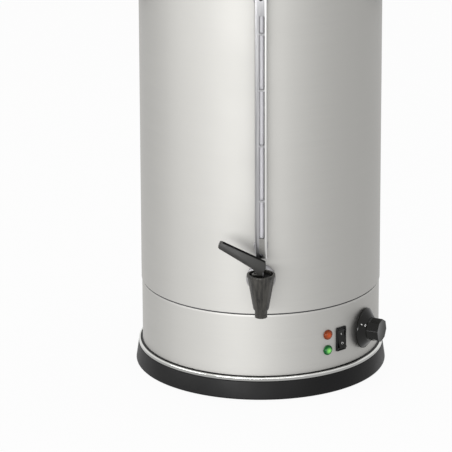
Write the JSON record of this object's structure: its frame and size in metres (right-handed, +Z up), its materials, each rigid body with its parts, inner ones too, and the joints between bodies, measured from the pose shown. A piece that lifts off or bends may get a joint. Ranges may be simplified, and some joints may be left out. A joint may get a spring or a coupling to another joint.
{
  "type": "hot water urn",
  "caption": "Double-walled steel hot water urn with a spring-closed tap, guarded sight gauge, thermostat and lift-off lid.",
  "frame": {"origin": "centre of the base cover's underside, on the urn's axis; the feet reach 3 mm lower", "axes": "+Z up, tap and gauge towards -Y, controls to the right of the tap towards +X"},
  "size_m": [0.386, 0.3751, 0.5873],
  "materials": {
    "brushed_stainless": "finely brushed stainless sheet",
    "plain_stainless": "plain stainless, dull",
    "chrome": "bright plated or polished",
    "spring_steel": "bare spring steel",
    "aluminium": "as cast",
    "black_plastic": "satin moulded, black",
    "gloss_black": "polished moulded, black",
    "silicone": "translucent white silicone",
    "rubber": "dark rubber",
    "glass": "clear glass tube",
    "orange_lens": "orange lens, unlit",
    "green_lens": "green lens, lit",
    "steatite": "unglazed ceramic"
  },
  "bodies": {
    "urn": {"base_ring": "black_plastic", "base_cover": "plain_stainless", "foot_1": "rubber", "foot_2": "rubber", "foot_3": "rubber", "foot_4": "rubber", "trim_ring": "chrome", "base_shell": "brushed_stainless", "jacket": "brushed_stainless", "tank": "plain_stainless", "handle_right": "black_plastic", "handle_left": "black_plastic", "handle_bracket_right": "plain_stainless", "handle_bracket_left": "plain_stainless", "tap_shank": "chrome", "shank_collar": "chrome", "shank_seal": "silicone", "shank_nut": "plain_stainless", "tap_body": "gloss_black", "tap_bonnet": "black_plastic", "gauge_guard": "chrome", "gauge_tube": "glass", "gauge_elbow_lower": "chrome", "gauge_elbow_upper": "chrome", "tube_seal_lower": "rubber", "tube_seal_upper": "rubber", "gauge_seal_lower": "silicone", "gauge_seal_upper": "silicone", "gauge_nut_lower": "plain_stainless", "gauge_nut_upper": "plain_stainless", "guard_screw_lower": "spring_steel", "guard_screw_upper": "spring_steel", "lamp_bezel_heating": "black_plastic", "lamp_lens_heating": "orange_lens", "lamp_bezel_ready": "black_plastic", "lamp_lens_ready": "green_lens", "switch_frame": "black_plastic", "thermostat_body": "black_plastic", "thermostat_nut": "plain_stainless", "heat_plate": "aluminium", "heating_element": "plain_stainless", "clamp_bar": "plain_stainless", "clamp_nut": "plain_stainless", "limiter": "steatite", "capillary_tube": "plain_stainless", "cable_gland": "black_plastic", "gland_nut": "black_plastic", "terminal_block": "steatite"},
    "dial": {"thermostat_knob": "gloss_black", "thermostat_shaft": "plain_stainless"},
    "rocker": {"switch_rocker": "gloss_black"},
    "swivel": {"thrust_washer": "spring_steel"},
    "valve": {"tap_stem": "chrome", "seat_cup": "silicone", "lever_pin": "chrome", "stem_spring": "spring_steel"},
    "lever": {"tap_lever": "black_plastic"},
    "lid": {"lid_dome": "brushed_stainless", "lid_knob": "black_plastic", "lid_knob_screw": "plain_stainless"}
  },
  "joints": [
    {"name": "lid_lift", "type": "slide", "parent": "urn", "child": "lid", "axis": [0, 0, 1], "range_m": [0, 0.12]},
    {"name": "dial_turn", "type": "hinge", "parent": "urn", "child": "dial", "pos_m": [0.13696, -0.08261, 0.0643], "axis": [0.9026, -0.4305, 0], "range_deg": [-270, 0]},
    {"name": "rocker_tip", "type": "hinge", "parent": "urn", "child": "rocker", "pos_m": [0.09845, -0.11167, 0.0622], "axis": [0.7501, 0.6613, 0], "range_deg": [0, 20]},
    {"name": "lever_swing", "type": "hinge", "parent": "urn", "child": "swivel", "pos_m": [0, -0.1909, 0.17], "axis": [0, 0, 1], "range_deg": [-20, 200]},
    {"name": "valve_lift", "type": "slide", "parent": "swivel", "child": "valve", "axis": [0, 0, 1], "range_m": [0, 0.0026], "deforming": ["stem_spring"]},
    {"name": "lever_press", "type": "hinge", "parent": "valve", "child": "lever", "pos_m": [0, -0.1909, 0.1818], "axis": [0, -1, 0], "range_deg": [0, 25], "stiffness_Nm_per_rad": 0.034, "springref_deg": -77.92}
  ],
  "couplings": [
    {"joint": "valve_lift", "follows": "lever_press", "m_per_rad": 0.0058}
  ]
}
